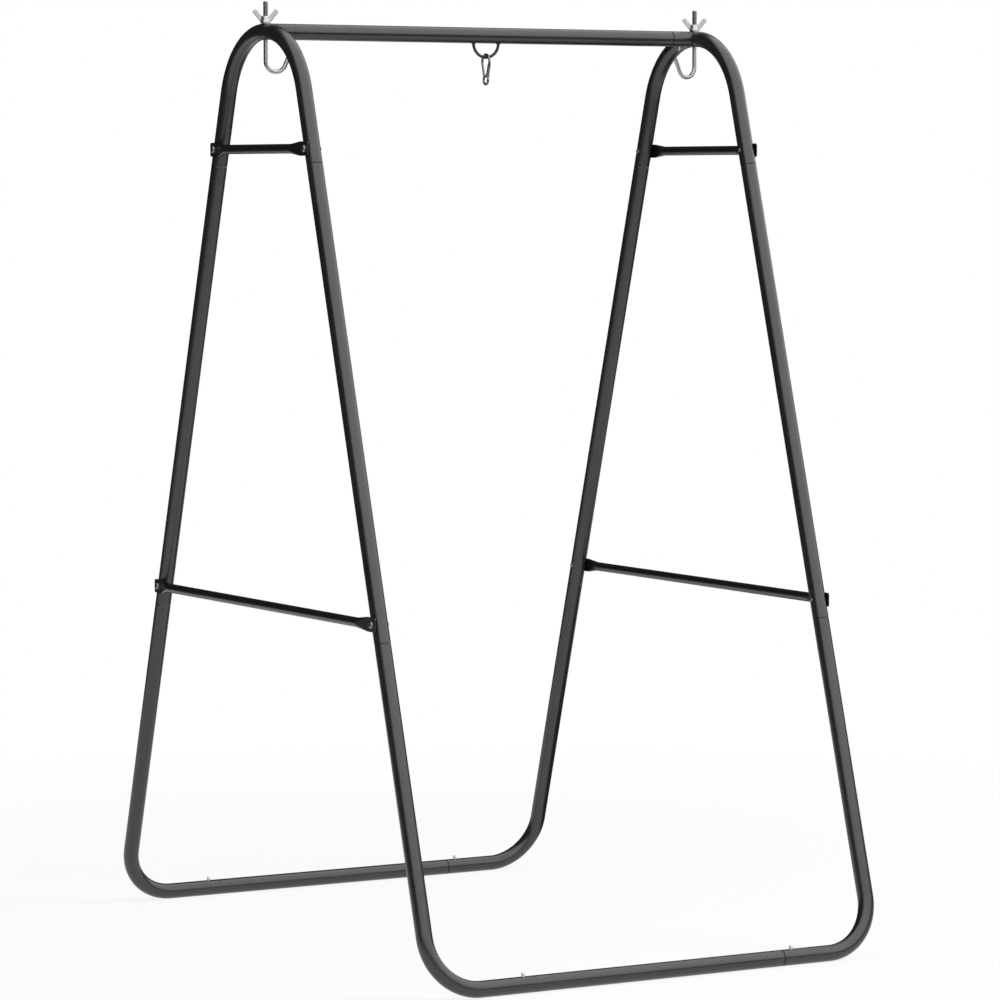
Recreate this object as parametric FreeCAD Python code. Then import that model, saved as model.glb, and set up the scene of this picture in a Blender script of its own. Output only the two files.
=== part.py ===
import FreeCAD
import Part

import math
import os

# Portable swing stand: two inverted-U end frames, a top beam, two floor tubes and four
# crossbars. Millimetres. X runs along the top beam, Y from front to back, Z up. The origin
# is on the floor under the middle of the stand.

V = FreeCAD.Vector

# --- main frame -----------------------------------------------------------------------
frame_spacing = 1000.0         # between the planes of the two end frames
top_height = 1826.0            # floor to the axis of the top beam
crown_half_width = 128.5       # half the width between the leg axes, extended up to the beam
leg_run_per_rise = 0.3         # how far a leg moves out for each unit it drops
crown_bend_radius = 165.0
foot_bend_radius = 105.0

tube_od = 32.0
tube_wall = 1.2
insert_clearance = 0.15        # radial, between a necked end and the bore it enters
neck_taper_length = 2.0
leg_insert_length = 60.0
beam_insert_length = 34.0
floor_insert_length = 45.0

upper_seam_drop = 261.0        # beam axis to the joint between arch and leg
lower_seam_height = 656.0
beam_seam_from_frame = 58.5    # end-frame plane to the joint in the top beam
floor_seam_from_frame = 218.5  # end-frame plane to the joint in a floor tube

# --- crossbars and their bolts --------------------------------------------------------
upper_bar_drop = 231.0         # below the beam axis
lower_bar_height = 693.0
bar_od = 19.0
bar_wall = 1.0
paddle_width = 28.0
paddle_thickness = 2.2
paddle_flat_length = 19.0      # from the bolt axis towards the middle of the bar
paddle_end_length = 14.0       # from the bolt axis to the bar's end
paddle_corner_radius = 4.5
paddle_taper_length = 36.0
section_roundness = 0.98       # share of a bar section's smaller half that its corners take

bolt_diameter = 8.0
bolt_hole_clearance = 0.3      # radial
bolt_head_diameter = 14.0
bolt_head_height = 4.4
bolt_socket_width = 5.0
bolt_socket_depth = 2.6
bolt_end_length = 2.6          # domed end left showing past the leg
bolt_end_dome = 1.4
bolt_nut_width = 13.0
bolt_nut_height = 6.5

# --- J-hooks, wing nuts and washers -----------------------------------------------------
rod_thread_diameter = 10.0
rod_thread_length = 72.0
hook_wire_diameter = 8.5
rod_top_above_beam = 43.5      # crown surface to the end of the rod
hook_drop = 63.0               # crown underside to the middle of the hook's lowest wire
hook_bend_radius = 21.0
hook_flare = 24.0              # degrees that the tip leans away from the shank
hook_tip_length = 28.0
hook_turn = 8.0                # degrees that each hook is turned towards the front
rod_hole_clearance = 0.5       # radial, in the crown
rod_end_chamfer = 1.2

hook_washer_diameter = 20.0
hook_washer_thickness = 2.0
nut_thread_clearance = 0.05    # radial
nut_base_diameter = 20.0
nut_top_diameter = 16.0
nut_height = 12.5
wing_thickness = 3.6
wing_root = 6.5                # from the axis to the top of the wing's inner edge
wing_foot = 9.6                # from the axis to the bottom of the wing's outer edge
wing_width = 9.4
wing_length = 27.5             # along the slanted outer edge
wing_lean = 39.0               # degrees from upright
wing_corner_radius = 2.6
nut_turn = -30.0               # degrees about Z that the wings are turned

# --- hanging ring and snap hook ---------------------------------------------------------
ring_wire_diameter = 6.0
ring_radius = 29.0             # to the middle of the wire
ring_rise = 0.8                # centre of the half ring, above the beam's underside

snap_wire_diameter = 5.0
snap_clearance = 0.3           # between the snap hook's crown and the ring
snap_length = 65.0             # over everything
snap_crown_radius = 14.5       # to the middle of the wire
snap_bulb_radius = 8.75
snap_waist_half_width = 6.2
snap_waist_height = 19.0       # above the bottom of the hook
snap_waist_fillet = 6.0
snap_nose_length = 1.0         # wire left on the gate's side below the crown bend
snap_gate_diameter = 6.4
snap_gate_bore = 3.2
snap_gap = 0.4                 # gate to wire, at rest and while it turns
snap_tang_thickness = 1.8
snap_tang_width = 3.4
snap_slot_clearance = 0.3      # each side of a tang in its slot
snap_pin_diameter = 2.0
snap_pin_clearance = 0.05      # radial, in the wire's eye
snap_spring_wire = 0.5
snap_spring_diameter = 2.6
snap_spring_turns = 6

# --- snap buttons -----------------------------------------------------------------------
button_diameter = 7.0
button_hole_clearance = 0.3    # radial
button_height = 7.5            # above the tube's surface
floor_button_from_seam = 22.0
beam_button_from_seam = 21.5
button_flange_diameter = 10.0
button_flange_thickness = 1.0
button_gap = 0.3               # flange to the bore, and flange to the clip's upper arm
clip_width = 9.0
clip_thickness = 0.8
clip_arm_length = 20.0
clip_bend_radius = 4.0

# --- worked-out places --------------------------------------------------------------------
half_spacing = frame_spacing / 2
upper_seam_height = top_height - upper_seam_drop
upper_bar_height = top_height - upper_bar_drop
tube_radius = tube_od / 2
bore_radius = tube_radius - tube_wall
insert_radius = bore_radius - insert_clearance
insert_bore_radius = insert_radius - tube_wall
leg_lean = math.atan(leg_run_per_rise)
floor_axis_height = tube_radius
bar_axis_offset = tube_radius + paddle_thickness / 2
crown_top = top_height + tube_radius
crown_bottom = top_height - tube_radius
beam_half_length = half_spacing - beam_seam_from_frame
floor_half_length = half_spacing - floor_seam_from_frame

SIDES = {"left": -1, "right": 1}
ENDS = {"front": -1, "back": 1}


def leg_y(height):
    """Distance of a leg's axis from the middle plane at a height."""
    return crown_half_width + leg_run_per_rise * (top_height - height)


def leg_point(side, end, height):
    return V(side * half_spacing, end * leg_y(height), height)


def rounded_path(points, radii):
    """A wire of straight runs joined by tangent arcs at the inner points."""
    edges = []
    start = points[0]
    for i in range(1, len(points) - 1):
        corner = points[i]
        back = (points[i - 1] - corner).normalize()
        ahead = (points[i + 1] - corner).normalize()
        half_angle = back.getAngle(ahead) / 2
        run = radii[i - 1] / math.tan(half_angle)
        to_centre = (back + ahead).normalize()
        centre = corner + to_centre * (radii[i - 1] / math.sin(half_angle))
        first = corner + back * run
        last = corner + ahead * run
        middle = centre - to_centre * radii[i - 1]
        if (first - start).Length > 1e-6:
            edges.append(Part.makeLine(start, first))
        edges.append(Part.Arc(first, middle, last).toShape())
        start = last
    if (points[-1] - start).Length > 1e-6:
        edges.append(Part.makeLine(start, points[-1]))
    return Part.Wire(edges)


def swept_rod(path, radius):
    """A solid round bar along a path."""
    edge = path.OrderedEdges[0]
    start = edge.valueAt(edge.FirstParameter)
    direction = edge.tangentAt(edge.FirstParameter)
    disc = Part.Face(Part.Wire(Part.makeCircle(radius, start, direction)))
    return path.makePipe(disc)


def swept_tube(path, radius, wall):
    return swept_rod(path, radius).cut(swept_rod(path, radius - wall))


def rod(start, end, radius):
    direction = end - start
    return Part.makeCylinder(radius, direction.Length, start, direction)


def necked_end(seam, direction, length):
    """The reduced end of a tube: a short taper up to the joint and the insert past it."""
    taper_start = seam - direction * neck_taper_length
    taper = Part.makeCone(tube_radius, bore_radius, neck_taper_length, taper_start, direction)
    insert = Part.makeCylinder(insert_radius, length, seam, direction)
    bore_neck = Part.makeCone(bore_radius, insert_bore_radius, neck_taper_length, taper_start, direction)
    bore = Part.makeCylinder(insert_bore_radius, length, seam, direction)
    return taper.fuse(insert).cut(bore_neck.fuse(bore))


def straight_tube(start, end, radius, bore):
    return rod(start, end, radius).cut(rod(start, end, bore))


def along_x(points_yz, x_start, length):
    """A prism along +X from an outline in the Y-Z plane."""
    corners = [V(x_start, y, z) for y, z in points_yz]
    face = Part.Face(Part.makePolygon(corners + [corners[0]]))
    return face.extrude(V(length, 0, 0))


# --- end frames, legs, beam and floor tubes --------------------------------------------------

def bolt_holes(side, heights):
    """Cross drillings for the crossbar bolts through both legs of one end frame."""
    reach = tube_radius + 1
    holes = []
    for end in ENDS.values():
        for height in heights:
            centre = leg_point(side, end, height)
            hole_radius = bolt_diameter / 2 + bolt_hole_clearance
            holes.append(rod(centre - V(reach, 0, 0), centre + V(reach, 0, 0), hole_radius))
    return holes[0].multiFuse(holes[1:])


def crown_path(side):
    front_foot = leg_point(side, -1, upper_seam_height)
    front_corner = leg_point(side, -1, top_height)
    back_corner = leg_point(side, 1, top_height)
    back_foot = leg_point(side, 1, upper_seam_height)
    points = [front_foot, front_corner, back_corner, back_foot]
    return rounded_path(points, [crown_bend_radius, crown_bend_radius])


def rod_hole(side):
    """Upright drilling for the J-hook's rod through the crown."""
    radius = rod_thread_diameter / 2 + rod_hole_clearance
    return Part.makeCylinder(radius, tube_od + 2, V(side * half_spacing, 0, crown_bottom - 1))


def arch(side):
    """Inverted U at the top of one end frame, drilled for the J-hook and the bolts."""
    tube = swept_tube(crown_path(side), tube_radius, tube_wall)
    return tube.cut(rod_hole(side)).cut(bolt_holes(side, [upper_bar_height]))


def beam_button_x(side):
    return side * (beam_half_length + beam_button_from_seam)


def floor_button_x(side):
    return side * (floor_half_length + floor_button_from_seam)


def button_hole(x, y, axis_height, up):
    """A round hole through one wall of a horizontal tube, above or below its axis."""
    radius = button_diameter / 2 + button_hole_clearance
    return Part.makeCylinder(radius, tube_radius + 1, V(x, y, axis_height), V(0, 0, up))


def beam_stub(side):
    """Short socket tube, coped to the crown of one end frame and welded to it."""
    start = V(side * beam_half_length, 0, top_height)
    end = V(side * half_spacing, 0, top_height)
    tube = straight_tube(start, end, tube_radius, bore_radius).cut(rod_hole(side))
    coped = tube.cut(swept_rod(crown_path(side), tube_radius))
    return coped.cut(button_hole(beam_button_x(side), 0, top_height, -1))


def top_beam():
    """Beam between the two stubs, necked at both ends."""
    reach = beam_half_length - neck_taper_length
    beam = straight_tube(V(-reach, 0, top_height), V(reach, 0, top_height), tube_radius, bore_radius)
    for side in SIDES.values():
        seam = V(side * beam_half_length, 0, top_height)
        beam = beam.fuse(necked_end(seam, V(side, 0, 0), beam_insert_length))
        beam = beam.cut(button_hole(beam_button_x(side), 0, top_height, -1))
    return beam


def leg_direction(end):
    """Unit vector up a leg."""
    return V(0, -end * math.sin(leg_lean), math.cos(leg_lean))


def middle_leg(side, end):
    """Straight tube between the two leg joints, necked at its top."""
    bottom = leg_point(side, end, lower_seam_height)
    seam = leg_point(side, end, upper_seam_height)
    up = leg_direction(end)
    tube = straight_tube(bottom, seam - up * neck_taper_length, tube_radius, bore_radius)
    leg = tube.fuse(necked_end(seam, up, leg_insert_length))
    return leg.cut(bolt_holes(side, [upper_bar_height, lower_bar_height]))


def foot_leg(side, end):
    """Lower leg with its bend into the floor run, necked at its top."""
    up = leg_direction(end)
    seam = leg_point(side, end, lower_seam_height)
    corner = leg_point(side, end, floor_axis_height)
    floor_end = V(side * floor_half_length, corner.y, floor_axis_height)
    path = rounded_path([seam - up * neck_taper_length, corner, floor_end], [foot_bend_radius])
    leg = swept_tube(path, tube_radius, tube_wall)
    leg = leg.fuse(necked_end(seam, up, leg_insert_length))
    leg = leg.cut(bolt_holes(side, [lower_bar_height]))
    return leg.cut(button_hole(floor_button_x(side), corner.y, floor_axis_height, 1))


def floor_tube(end):
    """Floor tube across the front or the back, necked at both ends."""
    y = end * leg_y(floor_axis_height)
    reach = floor_half_length - neck_taper_length
    start = V(-reach, y, floor_axis_height)
    tube = straight_tube(start, V(reach, y, floor_axis_height), tube_radius, bore_radius)
    for side in SIDES.values():
        seam = V(side * floor_half_length, y, floor_axis_height)
        tube = tube.fuse(necked_end(seam, V(side, 0, 0), floor_insert_length))
        tube = tube.cut(button_hole(floor_button_x(side), y, floor_axis_height, 1))
    return tube


# --- crossbars and bolts -----------------------------------------------------------------------

def crossbar(side, height):
    """Round bar on the outer face of both legs, its ends flattened into drilled paddles."""
    x = side * (half_spacing + bar_axis_offset)
    bolt_y = leg_y(height)
    round_end = bolt_y - paddle_flat_length - paddle_taper_length
    flat_end = bolt_y - paddle_flat_length
    radius = bar_od / 2
    bar = straight_tube(V(x, -round_end, height), V(x, round_end, height), radius, radius - bar_wall)
    for end in ENDS.values():
        bar = bar.fuse(bar_end(x, end, height, bolt_y, flat_end, round_end))
    for end in ENDS.values():
        hole_radius = bolt_diameter / 2 + bolt_hole_clearance
        start = V(x - paddle_thickness, end * bolt_y, height)
        hole = Part.makeCylinder(hole_radius, 2 * paddle_thickness, start, V(1, 0, 0))
        bar = bar.cut(hole)
    return bar


def bar_section(x, y, height, half_thickness, half_width):
    """Rounded section of the bar: round where both halves are equal, flat at the paddle."""
    corner = min(half_thickness, half_width) * section_roundness
    straight = half_width - corner
    flat = half_thickness - corner
    across = [
        (V(x - half_thickness, y, height - straight), V(x - half_thickness, y, height + straight)),
        (V(x - flat, y, height + half_width), V(x + flat, y, height + half_width)),
        (V(x + half_thickness, y, height + straight), V(x + half_thickness, y, height - straight)),
        (V(x + flat, y, height - half_width), V(x - flat, y, height - half_width)),
    ]
    centres = [
        V(x - flat, y, height + straight),
        V(x + flat, y, height + straight),
        V(x + flat, y, height - straight),
        V(x - flat, y, height - straight),
    ]
    outward = [(-1, 1), (1, 1), (1, -1), (-1, -1)]
    reach = corner / math.sqrt(2)
    lines = []
    for i in range(4):
        lines.append(Part.makeLine(across[i][0], across[i][1]))
        middle = centres[i] + V(outward[i][0] * reach, 0, outward[i][1] * reach)
        next_start = across[(i + 1) % 4][0]
        lines.append(Part.Arc(across[i][1], middle, next_start).toShape())
    return Part.Wire(lines)


def bar_end(x, end, height, bolt_y, flat_end, round_end):
    """Taper from the round bar to the flat paddle, and the paddle with its square end and soft corners."""
    radius = bar_od / 2
    half_thickness = paddle_thickness / 2
    half_width = paddle_width / 2
    outer = Part.makeLoft([
        bar_section(x, end * round_end, height, radius, radius),
        bar_section(x, end * flat_end, height, half_thickness, half_width),
    ], True, True)
    bar_tip = bolt_y + paddle_end_length
    low_y = min(end * flat_end, end * bar_tip)
    corner = V(x - half_thickness, low_y, height - half_width)
    strap = Part.makeBox(paddle_thickness, bar_tip - flat_end, paddle_width, corner)
    tip_corners = []
    for edge in strap.Edges:
        middle = edge.BoundBox.Center
        across_the_bar = abs(middle.z - height) > half_width - 0.01
        if across_the_bar and abs(middle.y - end * bar_tip) < 0.01:
            tip_corners.append(edge)
    strap = strap.makeFillet(paddle_corner_radius, tip_corners)
    return outer.fuse(strap)


def bolt_places():
    """Every crossbar bolt: its side and the point where its axis meets the leg's axis."""
    places = []
    for side in SIDES.values():
        for end in ENDS.values():
            for height in (upper_bar_height, lower_bar_height):
                places.append((side, leg_point(side, end, height)))
    return places


def domed_head(radius, height, start, direction):
    """Low dome with a flat underside at start."""
    ball_radius = (radius ** 2 + height ** 2) / (2 * height)
    ball = Part.makeSphere(ball_radius, start - direction * (ball_radius - height))
    keep = Part.makeCylinder(radius, height, start, direction)
    return ball.common(keep)


def hexagon_prism(width, length, start, direction):
    """Hexagonal prism across the flats given, along a direction parallel to X or Z."""
    corner_radius = width / math.sqrt(3)
    side_axis = V(0, 1, 0)
    other_axis = direction.cross(side_axis)
    corners = []
    for i in range(6):
        angle = math.radians(60 * i)
        offset = side_axis * math.cos(angle) + other_axis * math.sin(angle)
        corners.append(start + offset * corner_radius)
    face = Part.Face(Part.makePolygon(corners + [corners[0]]))
    return face.extrude(direction * length)


def crossbar_bolt(side, centre):
    """Button-head bolt from the outside, through the paddle, the nut and both walls of the leg."""
    out = V(side, 0, 0)
    seat = centre + out * (tube_radius + paddle_thickness)
    tip_reach = tube_radius + bolt_end_length
    head = domed_head(bolt_head_diameter / 2, bolt_head_height, seat, out)
    socket_start = seat + out * (bolt_head_height - bolt_socket_depth)
    socket = hexagon_prism(bolt_socket_width, bolt_socket_depth + 1, socket_start, out)
    tip_base = centre - out * (tip_reach - bolt_end_dome)
    shank = rod(seat, tip_base, bolt_diameter / 2)
    tip = domed_head(bolt_diameter / 2, bolt_end_dome, tip_base, -out)
    return head.cut(socket).fuse(shank).fuse(tip)


def crossbar_nut(side, centre):
    """Weld nut inside the necked insert, its corners against the inner wall of the bore."""
    out = V(side, 0, 0)
    bevel_radius = bolt_nut_width / math.sqrt(3)
    wall_reach = math.sqrt(insert_bore_radius ** 2 - bevel_radius ** 2)
    start = centre - out * (wall_reach - bolt_nut_height)
    body = hexagon_prism(bolt_nut_width, bolt_nut_height, start, -out)
    bevel_top = bolt_nut_width / 2 - 0.4
    bevel_height = bolt_nut_height + bevel_radius - bevel_top
    bevel = Part.makeCone(bevel_radius + bolt_nut_height, bevel_top, bevel_height, start, -out)
    hole = Part.makeCylinder(bolt_diameter / 2, bolt_nut_height, start, -out)
    return body.common(bevel).cut(hole)


def at_every_bolt(make):
    return Part.makeCompound([make(side, centre) for side, centre in bolt_places()])


# --- J-hook set ---------------------------------------------------------------------------------

def hook_wire_low():
    """Height of the middle of the wire at the bottom of a J-hook."""
    return crown_bottom - hook_drop


def hook_path():
    """Centre line of the hook below its thread, opening towards +X, shank on the Z axis."""
    bottom = hook_wire_low()
    flare = math.radians(hook_flare)
    run = hook_bend_radius * math.tan((math.pi / 2 - flare) / 2)
    far_corner = V(hook_bend_radius + run, 0, bottom)
    tip = far_corner + V(math.sin(flare), 0, math.cos(flare)) * (run + hook_tip_length)
    thread_bottom = V(0, 0, crown_top + rod_top_above_beam - rod_thread_length)
    points = [thread_bottom, V(0, 0, bottom), far_corner, tip]
    return rounded_path(points, [hook_bend_radius, hook_bend_radius])


def placed_hook(shape, side):
    """Turn a hook piece from its own axis to its place on one end frame."""
    turn = hook_turn if side > 0 else -hook_turn
    if side > 0:
        turn = 180 + turn
    shape.rotate(V(0, 0, 0), V(0, 0, 1), turn)
    shape.translate(V(side * half_spacing, 0, 0))
    return shape


def j_hook(side):
    top = crown_top + rod_top_above_beam
    wire = swept_rod(hook_path(), hook_wire_diameter / 2)
    radius = rod_thread_diameter / 2
    plain = rod_thread_length - rod_end_chamfer
    thread = Part.makeCylinder(radius, plain, V(0, 0, top - rod_thread_length))
    chamfer = Part.makeCone(radius, radius - rod_end_chamfer, rod_end_chamfer, V(0, 0, top - rod_end_chamfer))
    return placed_hook(wire.fuse(thread).fuse(chamfer), side)


def hook_washer(side):
    start = V(side * half_spacing, 0, crown_top)
    washer = Part.makeCylinder(hook_washer_diameter / 2, hook_washer_thickness, start)
    hole_radius = rod_thread_diameter / 2 + rod_hole_clearance
    return washer.cut(Part.makeCylinder(hole_radius, hook_washer_thickness, start))


def wing(direction):
    """One slanted wing in the X-Z plane, its outer edge starting at the nut's foot."""
    lean = math.radians(wing_lean)
    up_out = V(math.sin(lean), 0, math.cos(lean))
    inward = V(-math.cos(lean), 0, math.sin(lean))
    foot = V(wing_foot, 0, 0)
    outer = foot + up_out * wing_length
    inner = outer + inward * wing_width
    root = V(wing_root, 0, nut_height)
    axis_top = V(wing_root / 2, 0, nut_height - 1)
    axis_foot = V(wing_root / 2, 0, 0)
    wire = Part.makePolygon([axis_foot, foot, outer, inner, root, axis_top, axis_foot])
    plate = Part.Face(wire).extrude(V(0, wing_thickness, 0))
    plate.translate(V(0, -wing_thickness / 2, 0))
    ends = [e for e in plate.Edges if is_wing_corner(e, outer) or is_wing_corner(e, inner)]
    plate = plate.makeFillet(wing_corner_radius, ends)
    if direction < 0:
        plate.rotate(V(0, 0, 0), V(0, 0, 1), 180)
    return plate


def is_wing_corner(edge, corner):
    middle = edge.valueAt((edge.FirstParameter + edge.LastParameter) / 2)
    return (middle - corner).Length < 1e-3


def wing_nut(side):
    base = nut_base_diameter / 2
    top = nut_top_diameter / 2
    hub = Part.makeCone(base, top, nut_height)
    nut = hub.fuse(wing(1)).fuse(wing(-1))
    bore_radius_nut = rod_thread_diameter / 2 + nut_thread_clearance
    nut = nut.cut(Part.makeCylinder(bore_radius_nut, 3 * nut_height, V(0, 0, -1)))
    nut.rotate(V(0, 0, 0), V(0, 0, 1), nut_turn)
    nut.translate(V(side * half_spacing, 0, crown_top + hook_washer_thickness))
    return nut


# --- hanging ring and snap hook ------------------------------------------------------------------

def ring_centre_height():
    return crown_bottom + ring_rise


def hanging_ring():
    """Half ring under the beam, its two ends coped to the tube and welded."""
    centre = ring_centre_height()
    left = V(-ring_radius, 0, centre)
    right = V(ring_radius, 0, centre)
    bend = Part.Arc(left, V(0, 0, centre - ring_radius), right).toShape()
    path = Part.Wire([
        Part.makeLine(V(-ring_radius, 0, top_height), left),
        bend,
        Part.makeLine(right, V(ring_radius, 0, top_height)),
    ])
    wire = swept_rod(path, ring_wire_diameter / 2)
    beam = rod(V(-2 * ring_radius, 0, top_height), V(2 * ring_radius, 0, top_height), tube_radius)
    return wire.cut(beam)


def ring_seat_height():
    """Top of the ring's lowest wire, where the snap hook hangs."""
    return ring_centre_height() - ring_radius + ring_wire_diameter / 2


def hung(shape):
    """Lift a snap hook piece, made with the ring's seat at zero, to its place."""
    shape.translate(V(0, 0, ring_seat_height()))
    return shape


def snap_places():
    """Heights over the ring's seat, and tangent angles, of the snap hook's centre line."""
    radius = snap_wire_diameter / 2
    top = snap_clearance + radius
    bottom = top + radius - snap_length + radius
    crown = top - snap_crown_radius
    bulb = bottom + snap_bulb_radius
    waist = bottom - radius + snap_waist_height
    return {
        "top": top,
        "bottom": bottom,
        "crown": crown,
        "waist": waist,
        "side_lean": tangent_lean(snap_waist_half_width, crown - waist, snap_crown_radius),
        "bulb_lean": tangent_lean(snap_waist_half_width, waist - bulb, snap_bulb_radius),
    }


def tangent_lean(half_width, distance, radius):
    """Lean from upright of the line through a waist point that touches a circle."""
    reach = math.hypot(half_width, distance)
    return math.atan2(distance, half_width) - math.acos(radius / reach)


def circle_corner(radius, lean):
    """Half width at which two tangents, one level and one leaning, meet."""
    return radius * (1 + math.sin(lean)) / math.cos(lean)


def snap_path():
    """Wire from the nose, over the crown, down the back, round the bulb to the gate's eye."""
    place = snap_places()
    crown_corner = circle_corner(snap_crown_radius, place["side_lean"])
    bulb_corner = circle_corner(snap_bulb_radius, place["bulb_lean"])
    back = V(0, snap_waist_half_width, place["waist"])
    front = V(0, -snap_waist_half_width, place["waist"])
    corners = [
        snap_nose_point(snap_nose_length),
        V(0, -crown_corner, place["top"]),
        V(0, crown_corner, place["top"]),
        back,
        V(0, bulb_corner, place["bottom"]),
        V(0, -bulb_corner, place["bottom"]),
        front,
    ]
    crown = snap_crown_radius
    bulb = snap_bulb_radius
    return rounded_path(corners, [crown, crown, snap_waist_fillet, bulb, bulb])


def side_direction():
    """Unit vector down the gate's side of the snap hook."""
    lean = snap_places()["side_lean"]
    return V(0, math.sin(lean), -math.cos(lean))


def snap_nose_point(distance):
    """Point on the gate's side, a distance below the end of the crown bend."""
    place = snap_places()
    lean = place["side_lean"]
    tangent_y = -snap_crown_radius * math.cos(lean)
    tangent_z = place["crown"] - snap_crown_radius * math.sin(lean)
    return V(0, tangent_y, tangent_z) + side_direction() * distance


def snap_pivot():
    place = snap_places()
    return V(0, -snap_waist_half_width, place["waist"])


def across_gate():
    """Unit vector square to the gate in the hook's plane, pointing into the hook."""
    down = side_direction()
    return V(0, -down.z, down.y)


def gate_block(start, down_length, inner, outer, thickness):
    """Box along the gate's line, from inner to outer across it and centred on X = 0."""
    down = side_direction()
    into = across_gate()
    corners = [
        start + into * inner,
        start + into * outer,
        start + into * outer + down * down_length,
        start + into * inner + down * down_length,
    ]
    face = Part.Face(Part.makePolygon(corners + [corners[0]]))
    block = face.extrude(V(thickness, 0, 0))
    block.translate(V(-thickness / 2, 0, 0))
    return block


def gate_top_distance():
    return snap_nose_length + snap_gap


def latch_length():
    return snap_wire_diameter


def snap_hook_body():
    """Bent wire with a flat latch blade at its nose and a flat eye at the gate's pivot."""
    wire = swept_rod(snap_path(), snap_wire_diameter / 2)
    half = snap_tang_width / 2
    blade_start = snap_nose_point(snap_nose_length - 0.5)
    blade_length = latch_length() + snap_gap + 0.5
    blade = gate_block(blade_start, blade_length, -half, half, snap_tang_thickness)
    pivot = snap_pivot()
    half_eye = V(snap_tang_thickness / 2, 0, 0)
    eye = rod(pivot - half_eye, pivot + half_eye, snap_wire_diameter / 2)
    clear_x = snap_gate_diameter
    cheek_radius = snap_gate_diameter / 2 + snap_gap
    for sign in (-1, 1):
        inner_x = sign * snap_tang_thickness / 2
        relief = rod(pivot + V(inner_x, 0, 0), pivot + V(sign * clear_x, 0, 0), cheek_radius)
        wire = wire.cut(relief)
    body = wire.fuse(blade).fuse(eye)
    hole_radius = snap_pin_diameter / 2 + snap_pin_clearance
    return body.cut(rod(pivot - V(clear_x, 0, 0), pivot + V(clear_x, 0, 0), hole_radius))


def snap_hook_gate():
    """Round gate with a fork at its pivot, a slot for the latch blade and a spring bore."""
    down = side_direction()
    pivot = snap_pivot()
    top = snap_nose_point(gate_top_distance())
    radius = snap_gate_diameter / 2
    bar = rod(top, pivot, radius)
    knuckle = rod(pivot - V(radius, 0, 0), pivot + V(radius, 0, 0), radius)
    gate = bar.fuse(knuckle)
    slot_width = snap_tang_thickness + 2 * snap_slot_clearance
    inner = snap_tang_width / 2 + snap_slot_clearance
    slot_length = latch_length() + snap_slot_clearance
    top_slot = gate_block(top - down, slot_length + 1, -2 * radius, inner, slot_width)
    fork_reach = snap_wire_diameter / 2 + snap_gap
    fork_start = pivot - down * fork_reach
    fork = gate_block(fork_start, 3 * radius, -2 * radius, 2 * radius, slot_width)
    bore_length = (fork_start - top).Length - slot_length - 2
    bore = rod(fork_start, fork_start - down * bore_length, snap_gate_bore / 2)
    pin_hole = rod(pivot - V(2 * radius, 0, 0), pivot + V(2 * radius, 0, 0), snap_pin_diameter / 2)
    return gate.cut(top_slot).cut(fork).cut(bore).cut(pin_hole)


def snap_gate_pin():
    """Rivet through the gate's fork and the wire's eye."""
    pivot = snap_pivot()
    reach = snap_gate_diameter / 2
    return rod(pivot - V(reach, 0, 0), pivot + V(reach, 0, 0), snap_pin_diameter / 2)


def snap_gate_spring():
    """Small coil spring in the gate's bore, pressing on the wire's eye."""
    down = side_direction()
    seat = snap_pivot() - down * (snap_wire_diameter / 2)
    fork_reach = snap_wire_diameter / 2 + snap_gap
    top = snap_nose_point(gate_top_distance())
    slot_length = latch_length() + snap_slot_clearance
    fork_start = snap_pivot() - down * fork_reach
    bore_length = (fork_start - top).Length - slot_length - 2
    length = bore_length + snap_gap - snap_spring_wire
    pitch = (length - snap_spring_wire) / snap_spring_turns
    coil_radius = (snap_spring_diameter - snap_spring_wire) / 2
    helix = Part.makeHelix(pitch, pitch * snap_spring_turns, coil_radius)
    edge = helix.Edges[0]
    start = edge.valueAt(edge.FirstParameter)
    tangent = edge.tangentAt(edge.FirstParameter)
    profile = Part.Wire(Part.makeCircle(snap_spring_wire / 2, start, tangent))
    coil = Part.Wire(helix.Edges).makePipeShell([profile], True, True)
    place = FreeCAD.Placement(seat - down * snap_spring_wire, FreeCAD.Rotation(V(0, 0, 1), -down))
    coil.Placement = place
    return coil


# --- snap buttons ------------------------------------------------------------------------------

def snap_button(x, y, axis_height, up):
    """Domed pin with a flange that stops it against the bore of the insert."""
    radius = button_diameter / 2
    axis = V(0, 0, up)
    flange_top = insert_flat_height() - button_gap
    flange_base = flange_top - button_flange_thickness
    centre = V(x, y, axis_height)
    flange = Part.makeCylinder(button_flange_diameter / 2, button_flange_thickness, centre + axis * flange_base, axis)
    shaft_top = tube_radius + button_height - radius
    shaft = rod(centre + axis * flange_top, centre + axis * shaft_top, radius)
    dome = Part.makeSphere(radius, centre + axis * shaft_top)
    return flange.fuse(shaft).fuse(dome)


def insert_flat_height():
    """Distance from the tube's axis at which the flange's rim meets the insert's bore."""
    return math.sqrt(insert_bore_radius ** 2 - (button_flange_diameter / 2) ** 2)


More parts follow.
